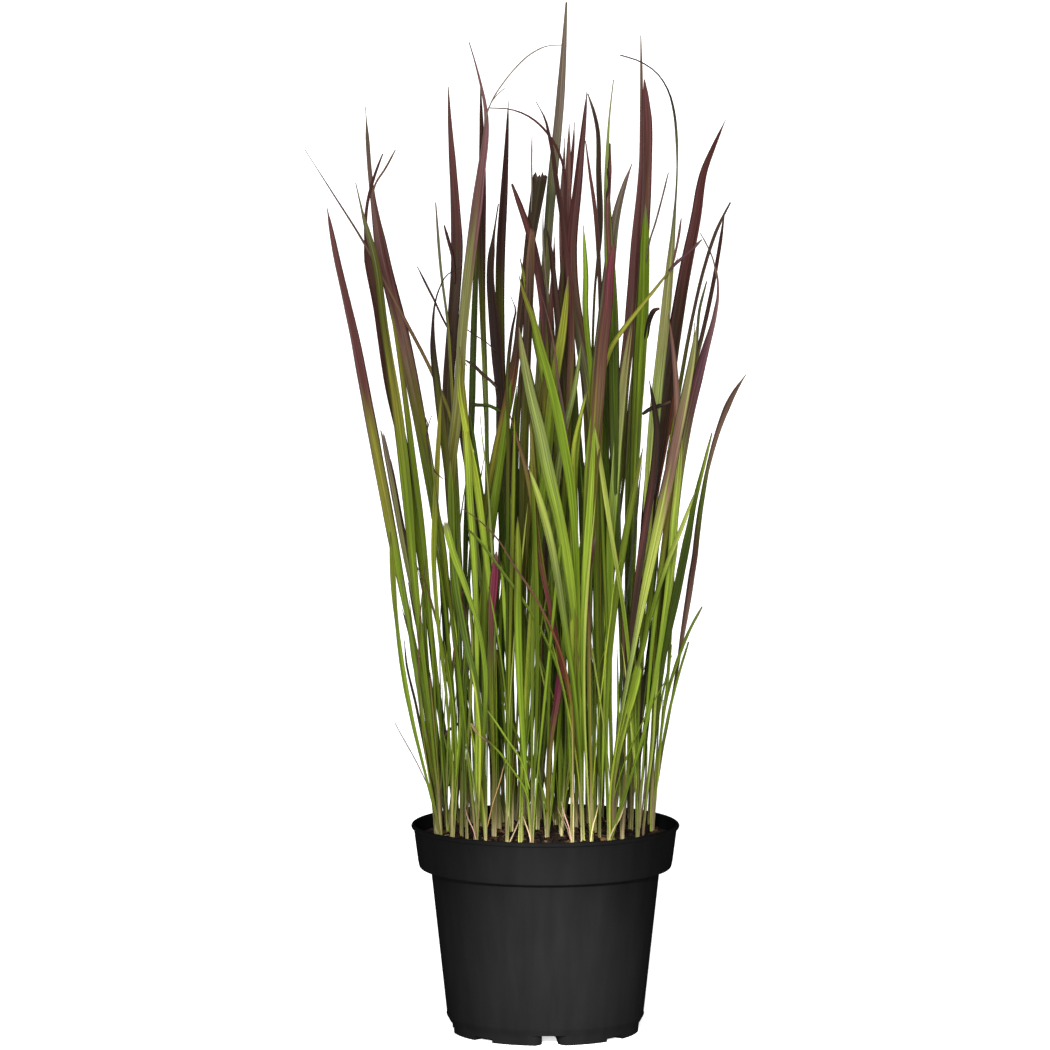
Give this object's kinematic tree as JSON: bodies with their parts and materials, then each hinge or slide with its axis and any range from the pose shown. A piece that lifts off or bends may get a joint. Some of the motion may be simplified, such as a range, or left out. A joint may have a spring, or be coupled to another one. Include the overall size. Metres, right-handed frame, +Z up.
{
  "type": "potted ornamental grass",
  "caption": "Upright clump of slender ornamental grass, green below and maroon at the tips, growing in a round black plastic nursery pot with soil.",
  "frame": {"origin": "centre of the flat middle of the pot's underside, on the pot's axis and at the level the pot stands on", "axes": "+Z up along the pot's axis; the front of the picture is -Y, +X to its right"},
  "size_m": [0.3097, 0.2714, 0.7252],
  "materials": {
    "pot_plastic": "moulded satin",
    "potting_soil": "loose peat and bark",
    "grass_leaf": "satin ribbed leaf, green to maroon"
  },
  "bodies": {
    "root": {"pot": "pot_plastic", "soil": "potting_soil", "shoot_01": "grass_leaf", "shoot_02": "grass_leaf", "shoot_03": "grass_leaf", "shoot_04": "grass_leaf", "shoot_05": "grass_leaf", "shoot_06": "grass_leaf", "shoot_07": "grass_leaf", "shoot_08": "grass_leaf", "shoot_09": "grass_leaf", "shoot_10": "grass_leaf", "shoot_11": "grass_leaf", "shoot_12": "grass_leaf", "shoot_13": "grass_leaf", "shoot_14": "grass_leaf", "shoot_15": "grass_leaf", "shoot_16": "grass_leaf", "shoot_17": "grass_leaf", "shoot_18": "grass_leaf", "shoot_19": "grass_leaf", "shoot_20": "grass_leaf", "shoot_21": "grass_leaf", "shoot_22": "grass_leaf", "shoot_23": "grass_leaf", "shoot_24": "grass_leaf", "shoot_25": "grass_leaf", "shoot_26": "grass_leaf", "shoot_27": "grass_leaf", "shoot_28": "grass_leaf", "shoot_29": "grass_leaf", "shoot_30": "grass_leaf", "shoot_31": "grass_leaf", "shoot_32": "grass_leaf", "shoot_33": "grass_leaf", "shoot_34": "grass_leaf", "shoot_35": "grass_leaf", "shoot_36": "grass_leaf", "shoot_37": "grass_leaf", "shoot_38": "grass_leaf", "shoot_39": "grass_leaf", "shoot_40": "grass_leaf", "shoot_41": "grass_leaf", "shoot_42": "grass_leaf", "shoot_43": "grass_leaf", "shoot_44": "grass_leaf", "shoot_45": "grass_leaf", "shoot_46": "grass_leaf", "shoot_47": "grass_leaf", "shoot_48": "grass_leaf", "shoot_49": "grass_leaf", "shoot_50": "grass_leaf", "shoot_51": "grass_leaf", "shoot_52": "grass_leaf", "shoot_53": "grass_leaf", "shoot_54": "grass_leaf", "shoot_55": "grass_leaf"}
  },
  "joints": []
}
